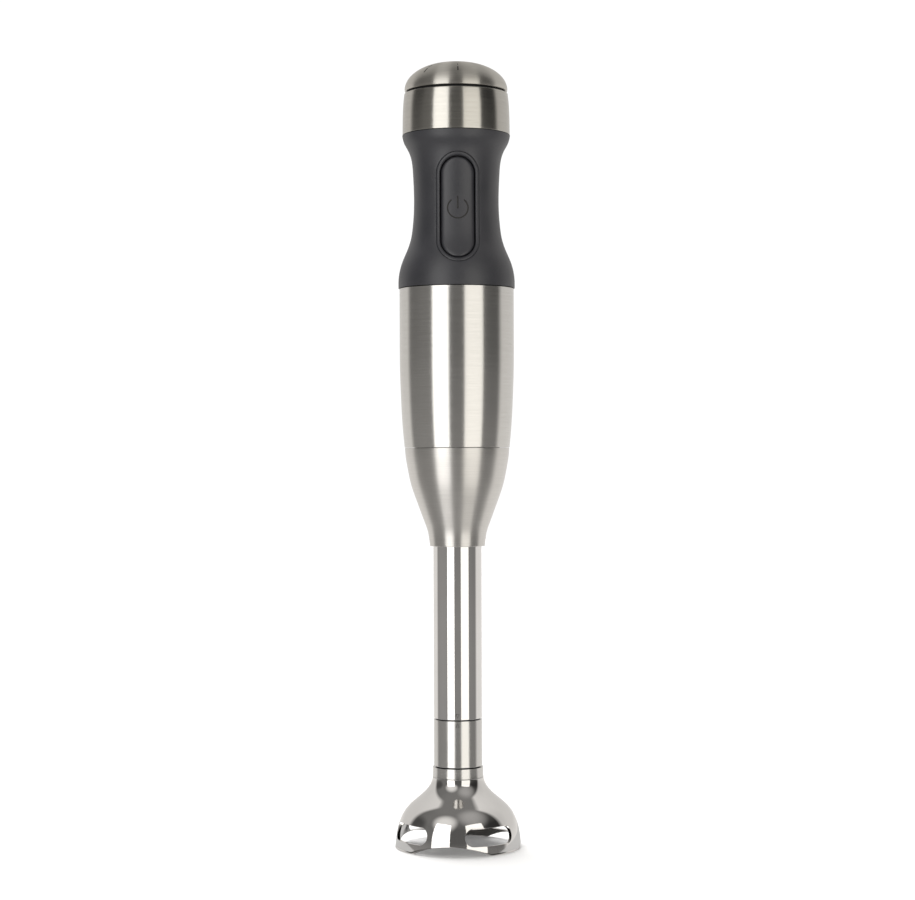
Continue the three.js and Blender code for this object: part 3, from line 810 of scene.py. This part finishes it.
def drive_dog(node, bore, foot, top, upwards, *shaft):
    """A disc with two drive teeth over or under it, and its shaft where it has one."""
    if upwards:
        tooth_foot, tooth_top, angles = top - TOOTH_ROOT, top + TOOTH_UP, (90, 270)
    else:
        tooth_foot, tooth_top, angles = foot - TOOTH_DOWN, foot + TOOTH_ROOT, (0, 180)
    teeth = [sector_shape(TOOTH_RADIUS, DOG_RADIUS, tooth_foot, tooth_top, angle, TOOTH_HALF_ANGLE)
             for angle in angles]
    inner_piece(node, ring_shape(bore, DOG_RADIUS, foot, top), *teeth, *shaft, edge=0.25)


def make_handle_coupling():
    """The base that the arm turns onto, with its nose, lip and bayonet lugs."""
    bore, lip, lip_height = 12, 26.3, 2.9
    foot, top = low("handle_base"), high("handle_base")
    lugs = [sector_shape(20, 23.6, foot + 2, foot + 5, angle, 14) for angle in (90, 270)]
    inner_piece("handle_base", ring_shape(bore, NOSE_RADIUS, foot, top),
                ring_shape(bore, lip, top - lip_height, top), *lugs)
    inner_ring("coupling_seal", NOSE_RADIUS + 0.1, 24.3)
    inner_ring("arm_lock_ring", 12.4, 22)


def make_bell_coupling():
    inner_ring("bell_lock_ring", SPIGOT_BORE, 11.3)
    foot, top = low("bell_spigot"), high("bell_spigot")
    lugs = [sector_shape(8, 11.5, top - 4, top - 2, angle, 15) for angle in (0, 180)]
    inner_piece("bell_spigot", ring_shape(SPIGOT_BORE, SPIGOT_RADIUS, foot, top), *lugs)


def make_drive():
    """The dogs and shafts that carry the motor's turn down to the cutter."""
    foot, top = low("motor_drive_dog"), high("motor_drive_dog")
    drive_dog("motor_drive_dog", BUSHING_BORE, foot + TOOTH_DOWN, top, False)
    foot, top = low("arm_drive_dog"), high("arm_drive_dog")
    drive_dog("arm_drive_dog", BUSHING_BORE, foot, top - TOOTH_UP, True)
    foot, top = low("arm_drive_shaft"), high("arm_drive_shaft")
    disc_foot, disc_height = foot + TOOTH_DOWN, 4.2
    shaft_foot = disc_foot + 0.3
    drive_dog("arm_drive_shaft", SHAFT_END_RADIUS, disc_foot, disc_foot + disc_height, False,
              turned([(0, shaft_foot), (SHAFT_RADIUS, shaft_foot), (SHAFT_RADIUS, top), (0, top)],
                     RING_SIDES))
    foot, top = low("blade_shaft"), high("blade_shaft")
    disc_top, disc_height = top - TOOTH_UP, 4
    step, shaft_top = foot + 7.4, disc_top - 0.2
    shaft = [(0, foot), (SHAFT_END_RADIUS, foot), (SHAFT_END_RADIUS, step), (SHAFT_RADIUS, step + 0.4),
             (SHAFT_RADIUS, shaft_top), (0, shaft_top)]
    drive_dog("blade_shaft", SHAFT_END_RADIUS, disc_top - disc_height, disc_top, True,
              turned(shaft, RING_SIDES))


def make_shaft_supports():
    """The adapter in the arm's funnel, the bushings, and the bearing block and seal in the bell."""
    foot, top = low("arm_adapter"), high("arm_adapter")
    outer, bore, wide_bore = 11.3, 4.6, 6
    funnel = [(outer, foot + 21), (14, foot + 22.6), (17.2, foot + 30), (20.6, foot + 37), (21.2, top)]
    adapter = [(bore, foot), (outer, foot), *spline(funnel, 40),
               (wide_bore, top), (wide_bore, foot + 28), (bore, foot + 26)]
    inner_piece("arm_adapter", turned(adapter, RING_SIDES))
    for node, outer in (("upper_shaft_bushing", 5.7), ("lower_shaft_bushing", 11.3), ("blade_bushing", 5.5)):
        inner_ring(node, BUSHING_BORE, outer)
    foot, top = low("blade_bearing_block"), high("blade_bearing_block")
    block = [(5.8, foot), (SPIGOT_RADIUS, foot + 2), (SPIGOT_RADIUS, top), (5.8, top)]
    inner_piece("blade_bearing_block", turned(block, RING_SIDES))
    foot, top = low("blade_seal"), high("blade_seal")
    seal = [(3.4, foot), (7, foot), (9.6, top - 1.3), (9.6, top), (3.4, top)]
    inner_piece("blade_seal", turned(seal, RING_SIDES))


def curve_points(start, control, end, count=14):
    """Points along a quadratic curve, without its end."""
    a, b, c = (np.array(p, float) for p in (start, control, end))
    return [tuple((1 - t) ** 2 * a + 2 * t * (1 - t) * b + t ** 2 * c) for t in np.arange(count) / count]


def make_cutter():
    """Two opposed wings with ground edges, their tips turned up and down, on a round hub."""
    middle = low("blade_nut") + 4.4
    outline = (curve_points((-4.5, -4), (4, -7.5), (14, -5)) + curve_points((14, -5), (19, -3.5), (21, 2.5))
               + curve_points((21, 2.5), (15, 2), (10, 3.2)) + curve_points((10, 3.2), (4, 4.6), (-4.5, 4)))
    count = len(outline)
    grind_centre = 6
    layers = [(0.93, -0.7), (1.0, -0.15), (1.0, 0.15), (0.93, 0.7)]
    hub_bore, hub_radius, hub_half_height = 2.8, 6, 0.9
    shapes = [ring_shape(hub_bore, hub_radius, middle - hub_half_height, middle + hub_half_height)]
    for turn, tilt in ((60, 9), (240, -9)):
        place_wing = (Matrix.Translation((0, 0, middle * MM)) @ Matrix.Rotation(math.radians(turn), 4, "Z")
                      @ Matrix.Rotation(math.radians(tilt), 4, "Y"))
        verts = [place_wing @ (Vector((grind_centre + (x - grind_centre) * scale, y * scale, height)) * MM)
                 for scale, height in layers for x, y in outline]
        faces = rows_to_faces(len(layers), count)
        faces += [tuple(range(count))[::-1], tuple(range(3 * count, 4 * count))]
        shapes.append((verts, faces))
    inner_piece("blade", *shapes, edge=0.12)


def make_blade_nut():
    corner_radius, chamfer = 4.8, 0.4
    foot, top = low("blade_nut"), high("blade_nut")
    rings = [(0.9, foot), (1, foot + chamfer), (1, top - chamfer), (0.9, top)]
    verts = [place(corner_radius * scale, 60 * i, z) for scale, z in rings for i in range(6)]
    faces = rows_to_faces(4, 6) + [tuple(range(6))[::-1], tuple(range(18, 24))]
    inner_piece("blade_nut", (verts, faces), edge=0.15)


# ------------------------------------------------------------------ studio and camera
# The camera's and the softboxes' lengths are metres. The lens and the two radii are millimetres.
VIEW_AZIMUTH = -2.0
VIEW_DISTANCE = 1.135
VIEW_HEIGHT = 0.2092
VIEW_ROLL = -0.184
VIEW_SHIFT = 0.0002  # sideways
VIEW_LENS = 84.57
SOFTBOX_DISTANCE = 1.4
SOFTBOX_FOOT = -0.7
SOFTBOX_TOP = 1.19
FLOOR_RADIUS = 4000
SHEET_RADIUS = 150
BACKDROP_LIGHT = 0.58
BACKDROP_EDGE = 0.26  # how far past square the backdrop starts at each side
BACKDROP_SOFTNESS = 0.09
BACKDROP_TURN = 9.5
# Brighter and darker patches of the room: azimuth, elevation and spread in degrees, then strength
PATCHES = [
    (-33, 43, 26, 0.7),  # over the left softbox
    (45, 55, 30, 0.22),  # over the right softbox
    (-75, 10, 50, 0.06),
    (-92, 22, 22, -0.09),  # the dark edge before the backdrop, left
    (85, 30, 40, -0.08),  # and right
]


def compass(distance, azimuth, height):
    """A place at a distance and an angle round the axis, counted from the camera's side."""
    a = math.radians(azimuth + VIEW_AZIMUTH)
    return Vector((distance * math.sin(a), -distance * math.cos(a), height))


def make_camera():
    camera = bpy.data.cameras.new("camera")
    camera.sensor_width = 36
    camera.lens = VIEW_LENS
    obj = bpy.data.objects.new("camera", camera)
    bpy.context.scene.collection.objects.link(obj)
    obj.location = compass(VIEW_DISTANCE, 0, VIEW_HEIGHT) + compass(VIEW_SHIFT, 90, 0)
    upright = Matrix.Rotation(math.radians(VIEW_AZIMUTH), 4, "Z") @ Matrix.Rotation(math.radians(90), 4, "X")
    obj.rotation_euler = (upright @ Matrix.Rotation(math.radians(VIEW_ROLL), 4, "Z")).to_euler()
    bpy.context.scene.camera = obj


def softbox(name, left, right, radiance, colour):
    """An upright rectangular light that covers a stretch of the compass as seen from the axis."""
    light = bpy.data.lights.new(name, "AREA")
    light.shape = "RECTANGLE"
    light.size = 2 * SOFTBOX_DISTANCE * math.tan(math.radians(right - left) / 2)
    light.size_y = SOFTBOX_TOP - SOFTBOX_FOOT
    light.color = colour
    light.energy = radiance * math.pi * light.size * light.size_y
    obj = bpy.data.objects.new(name, light)
    bpy.context.scene.collection.objects.link(obj)
    obj.location = compass(SOFTBOX_DISTANCE, (left + right) / 2, (SOFTBOX_FOOT + SOFTBOX_TOP) / 2)
    towards_axis = Vector((-obj.location.x, -obj.location.y, 0))
    obj.rotation_euler = towards_axis.to_track_quat("-Z", "Y").to_euler()
    obj.visible_camera = False


def floor_piece(name, radius, height, tone, glow):
    """A pale disc lying on the ground, its tone its lightest grey."""
    mesh = bpy.data.meshes.new(name)
    rim = [tuple(place(radius, 360 * i / RING_SIDES, height)) for i in range(RING_SIDES)]
    mesh.from_pydata(rim, [], [tuple(range(RING_SIDES))])
    floor = bpy.data.objects.new(name, mesh)
    bpy.context.scene.collection.objects.link(floor)
    material, nodes, links, shader = new_material(name)
    shader.inputs["Roughness"].default_value = 0.9
    shader.inputs["Specular IOR Level"].default_value = 0.0
    grain = add_noise(nodes, links, 900, detail=3)
    darker = tuple([tone - 0.02] * 3)
    links.new(add_mix(nodes, links, grain, darker, (tone, tone, tone)), shader.inputs["Base Color"])
    shader.inputs["Emission Color"].default_value = (1, 1, 1, 1)
    shader.inputs["Emission Strength"].default_value = glow
    mesh.materials.append(material)
    return floor


def make_floor():
    """The pale floor, which the camera sees, and the smaller sheet that the steel reflects in its place."""
    floor = floor_piece("pale_floor", FLOOR_RADIUS, 0, tone=0.9, glow=0.12)
    floor.visible_glossy = False
    floor.visible_diffuse = False
    floor.visible_shadow = False
    sheet = floor_piece("white_sheet", SHEET_RADIUS, -0.2, tone=0.5, glow=0)
    sheet.visible_camera = False


def add_math(nodes, links, operation, first, second=None):
    math_node = nodes.new("ShaderNodeMath")
    math_node.operation = operation
    for socket, value in zip(math_node.inputs, (first, second)):
        if isinstance(value, (int, float)):
            socket.default_value = value
        elif value is not None:
            links.new(value, socket)
    return math_node.outputs["Value"]


def add_patch(nodes, links, direction, azimuth, elevation, spread, strength):
    """A soft patch on the room, centred on one direction, lighter or with a negative strength darker."""
    towards = compass(math.cos(math.radians(elevation)), azimuth, math.sin(math.radians(elevation)))
    dot = nodes.new("ShaderNodeVectorMath")
    dot.operation = "DOT_PRODUCT"
    links.new(direction, dot.inputs[0])
    dot.inputs[1].default_value = towards
    edge = math.cos(math.radians(spread))
    ranged = add_range(nodes, links, dot.outputs["Value"], 0.0, strength, edge, 1.0)
    ranged.node.interpolation_type = "SMOOTHSTEP"
    return ranged


def make_world():
    """A dim room in front, a pale backdrop behind and at the sides, and lit patches over the softboxes."""
    world = bpy.data.worlds.new("studio")
    bpy.context.scene.world = world
    world.use_nodes = True
    nodes, links = world.node_tree.nodes, world.node_tree.links
    nodes.clear()
    direction = nodes.new("ShaderNodeTexCoord").outputs["Generated"]
    turn = nodes.new("ShaderNodeMapping")
    turn.inputs["Rotation"].default_value = (0, 0, math.radians(BACKDROP_TURN))
    split = nodes.new("ShaderNodeSeparateXYZ")
    links.new(direction, turn.inputs["Vector"])
    links.new(turn.outputs["Vector"], split.inputs["Vector"])
    height = split.outputs["Z"]
    level = add_math(nodes, links, "SQRT", add_math(nodes, links, "SUBTRACT", 1.0001,
                                                     add_math(nodes, links, "MULTIPLY", height, height)))
    away = add_math(nodes, links, "DIVIDE", split.outputs["Y"], level)
    behind = add_range(nodes, links, away, 0.0, BACKDROP_LIGHT,
                       BACKDROP_EDGE - BACKDROP_SOFTNESS, BACKDROP_EDGE + BACKDROP_SOFTNESS)
    below_top = add_range(nodes, links, height, 1.0, 0.0, 0.89, 0.94)
    backdrop = add_math(nodes, links, "MULTIPLY", behind, below_top)
    low_room = add_range(nodes, links, height, 0.26, 0.11, -0.08, 0.12)
    ceiling = add_range(nodes, links, height, 0.0, 0.1, 0.5, 0.95)
    light = add_math(nodes, links, "ADD", backdrop, add_math(nodes, links, "ADD", low_room, ceiling))
    for patch in PATCHES:
        light = add_math(nodes, links, "ADD", light, add_patch(nodes, links, direction, *patch))
    room = nodes.new("ShaderNodeBackground")
    room.inputs["Color"].default_value = (1, 0.977, 0.948, 1)
    links.new(light, room.inputs["Strength"])
    white = nodes.new("ShaderNodeBackground")
    white.inputs["Color"].default_value = (1, 1, 1, 1)
    white.inputs["Strength"].default_value = 1.05
    ray = nodes.new("ShaderNodeLightPath")
    mix = nodes.new("ShaderNodeMixShader")
    out = nodes.new("ShaderNodeOutputWorld")
    links.new(ray.outputs["Is Camera Ray"], mix.inputs["Fac"])
    links.new(room.outputs["Background"], mix.inputs[1])
    links.new(white.outputs["Background"], mix.inputs[2])
    links.new(mix.outputs["Shader"], out.inputs["Surface"])


def make_studio():
    bpy.context.scene.view_settings.view_transform = "Standard"
    make_floor()
    make_world()
    softbox("left_softbox", -50, -16, 1.75, (1, 0.99, 0.975))
    softbox("right_softbox", 15.5, 54, 1.17, (1, 0.975, 0.92))
    fill = bpy.data.lights.new("overhead_fill", "SUN")
    fill.energy = 2.75
    fill.angle = math.radians(50)
    above = bpy.data.objects.new("overhead_fill", fill)
    bpy.context.scene.collection.objects.link(above)
    above.rotation_euler = (math.radians(-28), math.radians(-12), 0)
    above.visible_glossy = False


make_camera()
make_studio()
finish_cad_nodes()
make_dial()
make_head()
make_grip()
make_button()
make_sleeve_and_arm()
make_bell()
make_handle_coupling()
make_bell_coupling()
make_drive()
make_shaft_supports()
make_cutter()
make_blade_nut()
